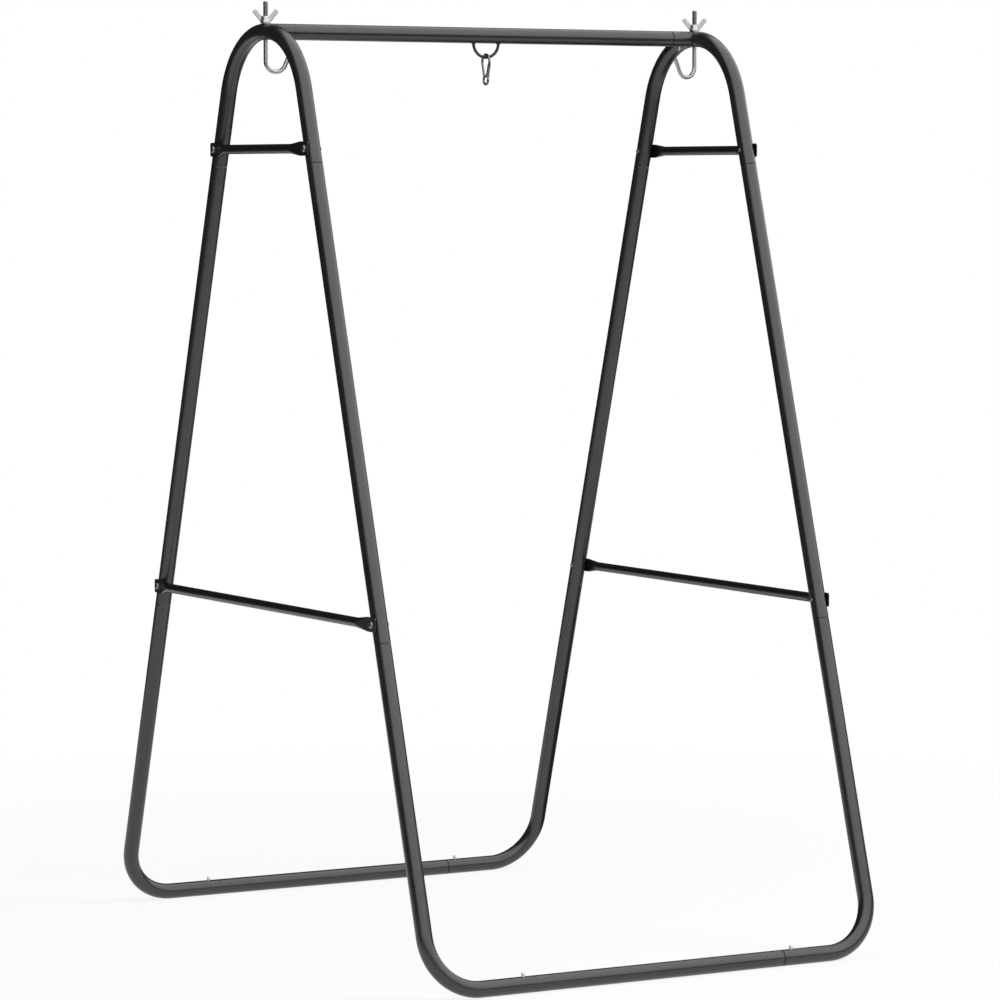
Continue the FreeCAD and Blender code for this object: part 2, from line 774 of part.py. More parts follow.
def button_clip(x, y, axis_height, up, side):
    """Folded spring strip: one arm under the button, the other on the far wall."""
    arm_top = insert_flat_height() - 2 * button_gap - button_flange_thickness
    arm_top_mid = arm_top - clip_thickness / 2
    far_half = clip_width / 2
    far_wall = -math.sqrt(insert_bore_radius ** 2 - far_half ** 2)
    far_mid = far_wall + clip_thickness / 2
    tip = V(button_flange_diameter / 2 + 1, 0, arm_top_mid)
    bend_high = V(-clip_arm_length, 0, arm_top_mid)
    bend_low = V(-clip_arm_length, 0, far_mid)
    far_tip = V(0, 0, far_mid)
    path = rounded_path([tip, bend_high, bend_low, far_tip], [clip_bend_radius, clip_bend_radius])
    half = clip_thickness / 2
    section = Part.makePolygon([
        tip + V(0, -far_half, -half),
        tip + V(0, far_half, -half),
        tip + V(0, far_half, half),
        tip + V(0, -far_half, half),
        tip + V(0, -far_half, -half),
    ])
    strip = path.makePipe(Part.Face(section))
    if up < 0:
        strip.rotate(V(0, 0, 0), V(1, 0, 0), 180)
    if side < 0:
        strip.rotate(V(0, 0, 0), V(0, 0, 1), 180)
    strip.translate(V(x, y, axis_height))
    return strip


def button_nodes():
    nodes = {}
    for side_name, side in SIDES.items():
        x = beam_button_x(side)
        nodes[side_name + "_beam_button"] = snap_button(x, 0, top_height, -1)
        nodes[side_name + "_beam_button_clip"] = button_clip(x, 0, top_height, -1, side)
        for end_name, end in ENDS.items():
            name = end_name + "_" + side_name + "_floor_button"
            x = floor_button_x(side)
            y = end * leg_y(floor_axis_height)
            nodes[name] = snap_button(x, y, floor_axis_height, 1)
            nodes[name + "_clip"] = button_clip(x, y, floor_axis_height, 1, side)
    return nodes


def frame_nodes():
    nodes = {"top_beam": top_beam(), "hanging_ring": hanging_ring()}
    for side_name, side in SIDES.items():
        nodes[side_name + "_arch"] = arch(side)
        nodes[side_name + "_beam_stub"] = beam_stub(side)
        nodes[side_name + "_upper_crossbar"] = crossbar(side, upper_bar_height)
        nodes[side_name + "_lower_crossbar"] = crossbar(side, lower_bar_height)
        for end_name, end in ENDS.items():
            nodes[end_name + "_" + side_name + "_middle_leg"] = middle_leg(side, end)
            nodes[end_name + "_" + side_name + "_foot_leg"] = foot_leg(side, end)
    for end_name, end in ENDS.items():
        nodes[end_name + "_floor_tube"] = floor_tube(end)
    nodes["crossbar_bolts"] = at_every_bolt(crossbar_bolt)
    nodes["crossbar_nuts"] = at_every_bolt(crossbar_nut)
    return nodes


def hanging_nodes():
    nodes = {
        "snap_hook_body": hung(snap_hook_body()),
        "snap_hook_gate": hung(snap_hook_gate()),
        "snap_hook_gate_pin": hung(snap_gate_pin()),
        "snap_hook_gate_spring": hung(snap_gate_spring()),
    }
    for side_name, side in SIDES.items():
        nodes[side_name + "_j_hook"] = j_hook(side)
        nodes[side_name + "_hook_washer"] = hook_washer(side)
        nodes[side_name + "_wing_nut"] = wing_nut(side)
    return nodes


def main():
    os.makedirs("parts", exist_ok=True)
    nodes = frame_nodes()
    nodes.update(hanging_nodes())
    nodes.update(button_nodes())
    for name, shape in nodes.items():
        shape.exportStep("parts/" + name + ".step")


main()
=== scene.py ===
import math

import bpy
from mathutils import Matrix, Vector


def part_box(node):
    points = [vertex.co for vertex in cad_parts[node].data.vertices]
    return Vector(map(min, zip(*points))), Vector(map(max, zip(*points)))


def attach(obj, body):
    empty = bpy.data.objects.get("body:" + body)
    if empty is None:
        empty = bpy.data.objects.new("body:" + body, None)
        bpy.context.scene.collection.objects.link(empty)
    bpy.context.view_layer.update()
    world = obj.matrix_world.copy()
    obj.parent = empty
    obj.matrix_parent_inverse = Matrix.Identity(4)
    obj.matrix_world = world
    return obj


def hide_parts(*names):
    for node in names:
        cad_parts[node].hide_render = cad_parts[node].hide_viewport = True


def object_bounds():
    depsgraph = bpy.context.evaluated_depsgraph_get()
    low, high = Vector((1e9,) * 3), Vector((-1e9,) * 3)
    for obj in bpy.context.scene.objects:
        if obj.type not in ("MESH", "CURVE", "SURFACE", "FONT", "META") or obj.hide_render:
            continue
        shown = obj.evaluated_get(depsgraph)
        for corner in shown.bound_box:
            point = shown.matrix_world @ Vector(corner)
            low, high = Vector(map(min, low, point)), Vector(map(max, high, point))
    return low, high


bl_info = {
    "name": "Swing Stand Looks",
    "version": (1, 0, 0),
    "blender": (4, 5, 0),
    "location": "View3D > Sidebar > Swing Stand",
    "description": "Hardware, welds, paint and plating for a tubular swing stand",
    "category": "Object",
}

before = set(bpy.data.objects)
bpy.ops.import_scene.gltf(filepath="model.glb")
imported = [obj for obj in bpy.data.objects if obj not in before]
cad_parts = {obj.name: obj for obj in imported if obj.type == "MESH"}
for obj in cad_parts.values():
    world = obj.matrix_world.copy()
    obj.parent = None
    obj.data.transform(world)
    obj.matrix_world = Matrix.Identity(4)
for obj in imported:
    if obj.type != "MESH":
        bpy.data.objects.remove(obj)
CAD_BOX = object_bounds()

SIDES = {"left": -1, "right": 1}
ENDS = {"front": -1, "back": 1}
MM = 0.001
WHITE = (1.0, 1.0, 1.0, 1.0)


# --- sizes and colours a user would change ---------------------------------------------------

def length(name, description, millimetres):
    """A length property, given in millimetres and kept in metres."""
    return bpy.props.FloatProperty(
        name=name, description=description, default=millimetres * MM, min=0.0, unit="LENGTH", precision=5)


def angle(name, description, degrees):
    return bpy.props.FloatProperty(
        name=name, description=description, default=math.radians(degrees), subtype="ANGLE", unit="ROTATION")


def paint(name, description, grey):
    return bpy.props.FloatVectorProperty(
        name=name, description=description, default=grey, size=3, min=0.0, max=1.0, subtype="COLOR")


def share(name, description, value):
    return bpy.props.FloatProperty(
        name=name, description=description, default=value, min=0.0, max=1.0, subtype="FACTOR")


class SwingFinishes(bpy.types.PropertyGroup):
    frame_black: paint(
        "Frame black", "Powder coat on the legs, arches, beam and floor tubes", (0.0105, 0.0105, 0.0108))
    crossbar_black: paint("Crossbar black", "Paint on the four crossbars", (0.0055, 0.0055, 0.0057))
    ring_black: paint("Ring black", "Paint on the hanging ring and its welds", (0.018, 0.018, 0.0185))
    frame_roughness: share("Frame roughness", "Roughness of the powder coat", 0.29)
    crossbar_roughness: share("Crossbar roughness", "Roughness of the crossbars' paint", 0.33)
    bright_zinc: paint("Bright zinc", "Plating on the J-hooks", (0.42, 0.424, 0.43))
    thread_zinc: paint("Thread zinc", "Duller plating in the rolled thread", (0.28, 0.282, 0.285))
    cast_zinc: paint("Cast zinc", "Wing nuts", (0.50, 0.502, 0.505))
    bolt_steel: paint("Bolt steel", "Crossbar bolts", (0.24, 0.242, 0.25))
    snap_steel: paint("Snap hook steel", "Snap hook and its gate", (0.21, 0.212, 0.22))
    button_steel: paint("Button steel", "Snap buttons of the tube joints", (0.62, 0.62, 0.63))
    spring_steel: paint("Spring steel", "Clips inside the tubes and the gate's spring", (0.36, 0.36, 0.37))


class SwingHookSizes(bpy.types.PropertyGroup):
    thread_diameter: length("Thread diameter", "Over the crests of the rod's thread", 10.0)
    thread_root: length("Thread root", "Diameter at the bottom of the thread", 8.6)
    thread_pitch: length("Thread pitch", "Rise of the thread in one turn", 1.5)
    thread_length: length("Thread length", "Threaded length from the rod's top", 72.0)
    wire_diameter: length("Wire diameter", "Plain wire of the hook", 8.5)
    bend_radius: length("Bend radius", "Hook bend, to the middle of the wire", 21.0)
    flare: angle("Flare", "Lean of the tip away from the shank", 24.0)
    tip_length: length("Tip length", "Straight wire after the bend", 28.0)
    tip_chamfer: length("Tip chamfer", "Height of the taper at the hook's tip", 1.1)
    tip_taper: share("Tip taper", "Width left at the end of that taper", 0.74)
    rod_chamfer: length("Rod chamfer", "Height of the taper at the rod's top", 1.4)
    turn: angle("Turn", "Turn of each hook towards the front", 8.0)


class SwingNutSizes(bpy.types.PropertyGroup):
    base_diameter: length("Base diameter", "Foot of the hub", 20.0)
    top_diameter: length("Top diameter", "Top of the hub", 16.0)
    height: length("Hub height", "Height of the hub", 12.5)
    bore: length("Bore", "Diameter of the hub's bore", 10.16)
    voxel: length("Voxel", "Fineness of the cast skin", 0.42)
    wing_thickness: length("Wing thickness", "Thickness of a wing at its root", 4.2)
    wing_foot: length("Wing foot", "Axis to the bottom of a wing's outer edge", 9.6)
    wing_width: length("Wing width", "Width across a wing", 9.4)
    wing_length: length("Wing length", "Length of a wing's outer edge", 27.2)
    wing_lean: angle("Wing lean", "Lean of a wing from upright", 39.0)
    wing_corner: length("Wing corner", "Rounding of a wing's tip", 2.8)
    turn: angle("Turn", "Turn of the wings about the rod", -30.0)


class SwingBoltSizes(bpy.types.PropertyGroup):
    diameter: length("Bolt diameter", "Shank", 8.0)
    end_length: length("End length", "Bolt end past the leg's inner side", 2.6)
    end_dome: length("End dome", "Height of the rounded end", 1.4)
    head_diameter: length("Head diameter", "Button head", 14.0)
    head_height: length("Head height", "Button head, over the dome", 4.4)
    head_flat: length("Head flat", "Flat on top of the dome, round the socket", 8.0)
    rim: length("Head rim", "Straight edge round the foot of the head", 0.7)
    socket_width: length("Socket width", "Hexagon socket, across its flats", 5.0)
    socket_depth: length("Socket depth", "Hexagon socket", 2.6)
    paddle_thickness: length("Paddle thickness", "Flattened end of a crossbar", 2.2)
    paddle_end: length("Paddle end", "Bolt axis to the end of a crossbar", 14.0)


class SwingWeldSizes(bpy.types.PropertyGroup):
    stub_bead: length("Stub bead", "Half width of the bead between stub and arch", 1.9)
    ring_bead: length("Ring bead", "Half width of the beads at the hanging ring", 1.3)
    clear_top: length("Clear at top", "Half width left bare under the hook's washer", 11.5)
    clear_bottom: length("Clear at bottom", "Half width left bare at the rod's lower hole", 6.5)


class SwingStage(bpy.types.PropertyGroup):
    floor_size: bpy.props.FloatProperty(
        name="Floor size", description="Side of the square floor", default=120.0, unit="LENGTH")
    camera_place: bpy.props.FloatVectorProperty(
        name="Camera place", description="Where the camera stands", default=(-4.5136, -7.8938, 1.5371),
        size=3, subtype="TRANSLATION", unit="LENGTH")
    camera_turn: bpy.props.FloatVectorProperty(
        name="Camera turn", description="How the camera is turned",
        default=(math.radians(85.8834), 0.0, math.radians(-29.9405)), size=3, subtype="EULER", unit="ROTATION")
    camera_lens: bpy.props.FloatProperty(
        name="Lens", description="Focal length in millimetres", default=160.79, min=1.0)
    key_power: bpy.props.FloatProperty(
        name="Key", description="Soft lamp above and to the right", default=330.0, unit="POWER")
    fill_power: bpy.props.FloatProperty(name="Fill", description="Soft lamp on the left", default=110.0, unit="POWER")
    room_level: share("Room level", "Even light from all round", 0.5)
    floor_white: share("Floor white", "Share of the floor's look under the stand that is plain white", 0.84)
    fade_start: bpy.props.FloatProperty(
        name="Fade start", description="Distance at which the floor starts to fade to white",
        default=1.0, unit="LENGTH")
    fade_end: bpy.props.FloatProperty(
        name="Fade end", description="Distance from which the floor is plain white", default=3.2, unit="LENGTH")
    screen_radius: bpy.props.FloatProperty(
        name="Screen radius", description="Distance of the screens that gloss reflects", default=9.0, unit="LENGTH")
    screen_facing: bpy.props.FloatVectorProperty(
        name="Screen facing", description="Direction from the stand to the middle of the bright screen",
        default=(0.382, -0.726, 0.574), size=3, subtype="DIRECTION")
    screen_cut: share("Screen cut", "Where the bright screen ends, from the middle of the room to its middle", 0.246)
    screen_foot: bpy.props.FloatProperty(
        name="Screen foot", description="Height of the bright screen's lower edge", default=2.0, unit="LENGTH")
    bright_floor: bpy.props.FloatProperty(
        name="Bright floor", description="Radius of the floor that gloss reflects", default=3.6, unit="LENGTH")
    dark_mat: bpy.props.FloatProperty(
        name="Dark mat", description="Radius of the mat on the right that gloss sees on the floor",
        default=1.0, unit="LENGTH")
    dark_mat_place: bpy.props.FloatVectorProperty(
        name="Dark mat place", description="Middle of that mat", default=(1.6, 0.5, 3 * MM),
        size=3, subtype="TRANSLATION", unit="LENGTH")
    screen_level: bpy.props.FloatProperty(
        name="Bright screen", description="Level of the screen in front, to the right and overhead",
        default=1.9, min=0.0)
    drape_level: share("Dark drapes", "Level of the drapes on the left, behind and low down", 0.03)


# --- selecting and finishing ---------------------------------------------------------------------

def clear_selection():
    bpy.ops.object.select_all(action="DESELECT")


def choose(pieces):
    """Select these objects and make the first the active one."""
    clear_selection()
    for piece in pieces:
        piece.select_set(True)
    bpy.context.view_layer.objects.active = pieces[0]


def edit_selected(piece, wanted):
    """Go to edit mode with only the vertices selected that pass a test of their place."""
    choose([piece])
    bpy.ops.object.mode_set(mode="EDIT")
    bpy.ops.mesh.select_all(action="DESELECT")
    bpy.ops.object.mode_set(mode="OBJECT")
    for vertex in piece.data.vertices:
        vertex.select = wanted(vertex.co)
    bpy.ops.object.mode_set(mode="EDIT")
    bpy.ops.mesh.select_mode(type="VERT")


def leave_edit():
    bpy.ops.object.mode_set(mode="OBJECT")


def apply_place(piece):
    choose([piece])
    bpy.ops.object.transform_apply(location=True, rotation=True, scale=True)


def joined(pieces):
    choose(pieces)
    bpy.ops.object.join()
    return pieces[0]


def close_up():
    """In edit mode: merge doubles, close open ends and turn the faces outwards."""
    bpy.ops.mesh.select_all(action="SELECT")
    bpy.ops.mesh.remove_doubles(threshold=2e-6)
    bpy.ops.mesh.fill_holes(sides=0)
    bpy.ops.mesh.normals_make_consistent(inside=False)


def smooth(piece, degrees=35.0):
    choose([piece])
    bpy.ops.object.shade_smooth_by_angle(angle=math.radians(degrees))


def modify(piece, kind, **settings):
    """Add a modifier, set it and apply it."""
    choose([piece])
    bpy.ops.object.modifier_add(type=kind)
    modifier = piece.modifiers[-1]
    for key, value in settings.items():
        setattr(modifier, key, value)
    bpy.ops.object.modifier_apply(modifier=modifier.name)


def cut_away(piece, tool):
    """Cut the tool's shape out of the piece, and remove the tool."""
    modify(piece, "BOOLEAN", operation="DIFFERENCE", solver="EXACT", object=tool)
    bpy.data.objects.remove(tool)


def copy_of(piece):
    """A copy of a piece with a mesh of its own."""
    choose([piece])
    bpy.ops.object.duplicate(linked=False)
    return bpy.context.object


def settle(piece, name, body, material, degrees=35.0):
    """Name a finished piece, give it its finish and let it ride on its body."""
    apply_place(piece)
    smooth(piece, degrees)
    piece.name = name
    piece.data.name = name
    piece.data.materials.clear()
    piece.data.materials.append(material)
    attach(piece, body)
    return piece


# --- shapes by hand ----------------------------------------------------------------------------------

def drawn_line(points):
    """A line drawn by pulling one corner from point to point, left in edit mode."""
    clear_selection()
    bpy.ops.mesh.primitive_plane_add(size=MM, location=(0, 0, 0))
    bpy.ops.object.mode_set(mode="EDIT")
    bpy.ops.mesh.select_mode(type="VERT")
    bpy.ops.mesh.select_all(action="SELECT")
    bpy.ops.mesh.merge(type="CENTER")
    bpy.ops.transform.translate(value=points[0])
    for start, end in zip(points, points[1:]):
        bpy.ops.mesh.extrude_vertices_move(TRANSFORM_OT_translate={"value": end - start})
    return bpy.context.object


def turned(profile, steps=48):
    """A solid turned about Z from (radius, height) points."""
    piece = drawn_line([Vector((radius, 0, height)) for radius, height in profile])
    bpy.ops.mesh.select_all(action="SELECT")
    bpy.ops.mesh.spin(steps=steps, angle=2 * math.pi, center=(0, 0, 0), axis=(0, 0, 1))
    close_up()
    leave_edit()
    return piece


def thread(outer, root, pitch, bottom, top):
    """A rolled thread about Z, cut level at both ends."""
    start = bottom - pitch
    # one pitch of the profile: flat root, flank, flat crest, flank
    line = [(root, 0.0), (root, 0.22), (outer, 0.52), (outer, 0.70), (root, 1.0)]
    piece = drawn_line([Vector((radius, 0, start + part * pitch)) for radius, part in line])
    leave_edit()
    turns = math.ceil((top - start) / pitch) + 1
    modify(piece, "SCREW", screw_offset=pitch, iterations=turns, steps=28, render_steps=28,
           use_merge_vertices=True, merge_threshold=1e-6)
    for height, down in ((bottom, -1), (top, 1)):
        bpy.ops.object.mode_set(mode="EDIT")
        bpy.ops.mesh.select_all(action="SELECT")
        bpy.ops.mesh.bisect(plane_co=(0, 0, height), plane_no=(0, 0, down), use_fill=True, clear_outer=True)
        leave_edit()
    bpy.ops.object.mode_set(mode="EDIT")
    close_up()
    leave_edit()
    return piece


def dome(radius, height, flat_radius, base):
    """Profile points of a low dome, from its flat top out to its rim."""
    points = [(0.0, base + height), (flat_radius * 0.96, base + height)]
    steps = 9
    for i in range(steps + 1):
        turn = math.pi / 2 * i / steps
        reach = flat_radius + (radius - flat_radius) * math.sin(turn)
        points.append((reach, base + height * math.cos(turn)))
    return points


# --- finishes -----------------------------------------------------------------------------------------

class Amount:
    """A number carried by a socket. Arithmetic on it adds Math nodes to its finish."""

    def __init__(self, finish, socket):
        self.finish = finish
        self.socket = socket

    def math(self, operation, first, second=0.0):
        made = self.finish.node("ShaderNodeMath", {"operation": operation}, {0: first, 1: second})
        return Amount(self.finish, made.outputs[0])

    def __add__(self, other):
        return self.math("ADD", self, other)

    __radd__ = __add__

    def __sub__(self, other):
        return self.math("SUBTRACT", self, other)

    def __rsub__(self, other):
        return self.math("SUBTRACT", other, self)

    def __mul__(self, other):
        return self.math("MULTIPLY", self, other)

    __rmul__ = __mul__

    def sine(self):
        return self.math("SINE", self)

    def turn_from(self, other):
        return self.math("ARCTAN2", self, other)

    def larger(self, other):
        return self.math("MAXIMUM", self, other)


class NodeMaker:
    """Adds nodes to one node tree."""

    def __init__(self, tree):
        self.tree = tree

    def node(self, kind, settings=None, inputs=None):
        """Add a node, change its settings, then give its sockets values or links."""
        made = self.tree.nodes.new(kind)
        for key, value in (settings or {}).items():
            setattr(made, key, value)
        for key, value in (inputs or {}).items():
            self.feed(made.inputs[key], value)
        return made

    def feed(self, socket, value):
        source = value.socket if isinstance(value, Amount) else value
        if isinstance(source, bpy.types.NodeSocket):
            self.tree.links.new(source, socket)
        else:
            socket.default_value = source

    def seen_directly(self):
        """One where a camera, glossy or transmission ray looks, and zero for the rest."""
        path = self.node("ShaderNodeLightPath")
        camera = Amount(self, path.outputs["Is Camera Ray"])
        return camera.larger(path.outputs["Is Glossy Ray"]).larger(path.outputs["Is Transmission Ray"])


class Finish(NodeMaker):
    """A surface finish, built on the shader that new materials start with."""

    def __init__(self, name):
        self.material = bpy.data.materials.new(name)
        self.material.use_nodes = True
        super().__init__(self.material.node_tree)
        self.shader = self.tree.nodes["Principled BSDF"]
        self.place = self.node("ShaderNodeTexCoord").outputs["Object"]

    def surface_from(self, shader_socket):
        self.feed(self.tree.nodes["Material Output"].inputs["Surface"], shader_socket)

    def noise(self, scale, detail=3.0, roughness=0.5, stretch=(1, 1, 1)):
        spread = self.node("ShaderNodeMapping", None, {"Vector": self.place, "Scale": stretch})
        made = self.node("ShaderNodeTexNoise", None, {
            "Vector": spread.outputs[0], "Scale": scale, "Detail": detail, "Roughness": roughness})
        return Amount(self, made.outputs[0])

    def cells(self, scale):
        made = self.node("ShaderNodeTexVoronoi", {"feature": "F1"}, {"Vector": self.place, "Scale": scale})
        tone = self.node("ShaderNodeSeparateColor", None, {0: made.outputs["Color"]})
        return Amount(self, tone.outputs[0])

    def along(self, axis):
        """Place along one axis, in metres."""
        made = self.node("ShaderNodeSeparateXYZ", None, {0: self.place})
        return Amount(self, made.outputs[axis])

    def step(self, value, low, high, start=0.0, end=1.0):
        """Smooth change from start to end while a value goes from low to high."""
        made = self.node("ShaderNodeMapRange", {"interpolation_type": "SMOOTHSTEP"}, {
            "Value": value, "From Min": low, "From Max": high, "To Min": start, "To Max": end})
        return Amount(self, made.outputs[0])

    def blend(self, factor, first, second):
        """Colour that goes from the first to the second."""
        made = self.node("ShaderNodeMix", {"data_type": "RGBA"}, {0: factor, 6: first, 7: second})
        return made.outputs[2]

    def relief(self, height, depth, after=None):
        """Bump from a height between 0 and 1, with its full depth in metres."""
        inputs = {"Height": height, "Strength": 1.0, "Distance": depth}
        if after is not None:
            inputs["Normal"] = after
        return self.node("ShaderNodeBump", None, inputs).outputs[0]

    def surface(self, **inputs):
        for key, value in inputs.items():
            self.feed(self.shader.inputs[key.replace("_", " ")], value)
        return self.material


def rgba(colour, gain=1.0):
    return (colour[0] * gain, colour[1] * gain, colour[2] * gain, 1.0)


def powder_coat(name, colour, roughness, shine):
    """Baked powder coat: fine orange peel, slightly uneven gloss and a faint cloud in the black."""
    finish = Finish(name)
    cloud = finish.noise(9.0, 3.0)
    peel = finish.noise(620.0, 2.0, 0.55)
    grain = finish.noise(2600.0, 1.0)
    tone = finish.blend(finish.step(cloud, 0.3, 0.7), rgba(colour, 0.82), rgba(colour, 1.22))
    gloss = roughness + (finish.noise(40.0, 4.0) - 0.5) * 0.10 + (grain - 0.5) * 0.05
    coat = finish.relief(peel, 0.000035)
    coat = finish.relief(grain, 0.000006, coat)
    return finish.surface(Base_Color=tone, Roughness=gloss, Normal=coat, Specular_IOR_Level=shine)


def plating(name, colour, roughness, cell_scale, unevenness):
    """Zinc or nickel plating: small crystal tones, soft smears and a fine drawn grain."""
    finish = Finish(name)
    crystal = finish.cells(cell_scale)
    smear = finish.noise(120.0, 4.0)
    tone = finish.blend(crystal * 0.5 + smear * 0.5, rgba(colour, 1.0 - unevenness), rgba(colour, 1.0 + unevenness))
    gloss = roughness + (smear - 0.5) * 0.12 + (crystal - 0.5) * 0.04
    coat = finish.relief(finish.noise(900.0, 2.0), 0.000004)
    return finish.surface(Base_Color=tone, Metallic=1.0, Roughness=gloss, Normal=coat)


def cast_metal(name, colour, roughness):
    """Cast and tumbled metal: pebbled skin, duller in its hollows."""
    finish = Finish(name)
    pebble = finish.noise(1100.0, 3.0, 0.6)
    pit = finish.noise(420.0, 2.0)
    tone = finish.blend(finish.step(pebble, 0.3, 0.65), rgba(colour, 0.86), rgba(colour, 1.06))
    gloss = roughness + (pit - 0.5) * 0.2
    coat = finish.relief(pebble, 0.00005)
    coat = finish.relief(pit, 0.00006, coat)
    return finish.surface(Base_Color=tone, Metallic=1.0, Roughness=gloss, Normal=coat)


def painted_weld(name, colour, roughness, axis_place, ripples):
    """Weld bead under paint: crescent ripples round the tube, and a little spatter."""
    finish = Finish(name)
    across = finish.along(1) - axis_place[1]
    up = finish.along(2) - axis_place[2]
    ripple = (up.turn_from(across) * ripples).sine() * 0.5 + 0.5
    lumps = finish.noise(700.0, 3.0)
    coat = finish.relief(ripple * 0.75 + lumps * 0.5, 0.00035)
    tone = finish.blend(lumps, rgba(colour, 0.7), rgba(colour, 1.3))
    return finish.surface(Base_Color=tone, Roughness=roughness + (lumps - 0.5) * 0.2, Normal=coat,
                          Specular_IOR_Level=0.35)


def paint_node(node, material):
    """Give a CAD node its finish."""
    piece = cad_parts[node]
    for place in piece.material_slots:
        place.material = material
    if not piece.material_slots:
        piece.data.materials.append(material)


def settings():
    return bpy.context.scene


# --- operators -------------------------------------------------------------------------------------------

class SWING_OT_tubes(bpy.types.Operator):
    """Powder coat the arches, stubs, beam, legs and floor tubes"""
    bl_idname = "swing_stand.tubes"
    bl_label = "Coat the Tubes"

    def execute(self, context):
        finishes = settings().swing_finishes
        coat = powder_coat("frame_powder_coat", finishes.frame_black, finishes.frame_roughness, 0.75)
        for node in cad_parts:
            if node.endswith(("_arch", "_stub", "top_beam", "_leg", "_floor_tube")):
                paint_node(node, coat)
        return {"FINISHED"}


class SWING_OT_crossbars(bpy.types.Operator):
    """Paint the four crossbars"""
    bl_idname = "swing_stand.crossbars"
    bl_label = "Paint the Crossbars"

    def execute(self, context):
        finishes = settings().swing_finishes
        coat = powder_coat("crossbar_paint", finishes.crossbar_black, finishes.crossbar_roughness, 0.75)
        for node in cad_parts:
            if node.endswith("_crossbar"):
                paint_node(node, coat)
        return {"FINISHED"}


def stub_bead(sizes, centre, inward, radius):
    """One side's bead along the coped end of a stub, as a part of a ring stretched on the slant."""
    clear_selection()
    bpy.ops.mesh.primitive_torus_add(
        location=centre, rotation=(0, math.pi / 2, 0), major_radius=radius, minor_radius=sizes.stub_bead,
        major_segments=120, minor_segments=14)
    piece = bpy.context.object
    bpy.ops.object.mode_set(mode="EDIT")
    for clear, up in ((sizes.clear_top, 1), (sizes.clear_bottom, -1)):
        lean = math.asin(clear / radius)
        bpy.ops.mesh.select_all(action="SELECT")
        bpy.ops.mesh.bisect(
            plane_co=centre, plane_no=(0, -math.cos(lean), up * math.sin(lean)), use_fill=True, clear_outer=True)
    bpy.ops.mesh.select_all(action="SELECT")
    bpy.ops.transform.resize(value=(1, math.sqrt(2), 1), center_override=centre)
    bpy.ops.transform.rotate(value=inward * math.pi / 4, orient_axis="Z", center_override=centre)
    close_up()
    leave_edit()
    return piece


class SWING_OT_welds(bpy.types.Operator):
    """Lay weld beads round the beam stubs and at the hanging ring"""
    bl_idname = "swing_stand.welds"
    bl_label = "Lay the Welds"

    def execute(self, context):
        sizes = settings().swing_welds
        finishes = settings().swing_finishes
        beam_low, beam_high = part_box("top_beam")
        axis = (beam_low + beam_high) / 2
        radius = (beam_high.z - beam_low.z) / 2
        stub_weld = painted_weld("stub_weld", finishes.frame_black, 0.4, axis, 46.0)
        for name, side in SIDES.items():
            low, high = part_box(name + "_arch")
            centre = Vector(((low.x + high.x) / 2, 0, axis.z))
            bead = stub_bead(sizes, centre, -side, radius)
            modify(bead, "MIRROR", use_axis=(False, True, False), use_clip=False)
            settle(bead, name + "_stub_weld", "frame", stub_weld, 50)
        ring_low, ring_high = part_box("hanging_ring")
        ring_weld = painted_weld("ring_weld", finishes.ring_black, 0.42, axis, 90.0)
        wire = ring_high.y - ring_low.y
        for name, side in SIDES.items():
            place = (side * (ring_high.x - wire / 2), 0, beam_low.z)
            self.ring_bead(sizes, place, wire, name, ring_weld)
        return {"FINISHED"}

    def ring_bead(self, sizes, place, wire, name, material):
        clear_selection()
        bpy.ops.mesh.primitive_torus_add(
            location=place, major_radius=wire / 2 + sizes.ring_bead * 0.35, minor_radius=sizes.ring_bead,
            major_segments=48, minor_segments=12)
        piece = bpy.context.object
        bpy.ops.object.mode_set(mode="EDIT")
        bpy.ops.mesh.select_all(action="SELECT")
        bpy.ops.transform.resize(value=(1, 1, 0.85), center_override=place)
        leave_edit()
        settle(piece, name + "_ring_weld", "frame", material, 60)


def hook_wire(sizes, side, axis, thread_bottom, lowest):
    """Plain wire of one J-hook: down the shank, round the bend and up the flared tip."""
    radius = sizes.bend_radius
    turn = side * sizes.turn
    facing = Vector((-side * math.cos(turn), -abs(math.sin(turn)), 0))
    bottom = lowest + sizes.wire_diameter / 2
    clear_selection()
    bpy.ops.mesh.primitive_circle_add(
        vertices=48, radius=sizes.wire_diameter / 2, fill_type="NOTHING",
        location=(axis.x, axis.y, thread_bottom + MM))
    piece = bpy.context.object
    bpy.ops.object.mode_set(mode="EDIT")
    bpy.ops.mesh.select_all(action="SELECT")
    drop = thread_bottom + MM - (bottom + radius)
    bpy.ops.mesh.extrude_region_move(TRANSFORM_OT_translate={"value": (0, 0, -drop)})
    centre = Vector((axis.x, axis.y, bottom + radius)) + facing * radius
    hinge = Vector((0, 0, -1)).cross(facing)
    bpy.ops.mesh.spin(steps=40, angle=-(math.pi - sizes.flare), center=centre, axis=hinge)
    rise = facing * math.sin(sizes.flare) + Vector((0, 0, math.cos(sizes.flare)))
    chamfer = sizes.tip_chamfer
    bpy.ops.mesh.extrude_region_move(TRANSFORM_OT_translate={"value": rise * (sizes.tip_length - chamfer)})
    bpy.ops.mesh.extrude_region_move(TRANSFORM_OT_translate={"value": rise * chamfer})
    arm = (facing * -math.cos(sizes.flare) + Vector((0, 0, math.sin(sizes.flare)))) * -radius
    tip = centre + arm + rise * sizes.tip_length
    bpy.ops.transform.resize(value=[sizes.tip_taper] * 3, center_override=tip)
    close_up()
    leave_edit()
    return piece


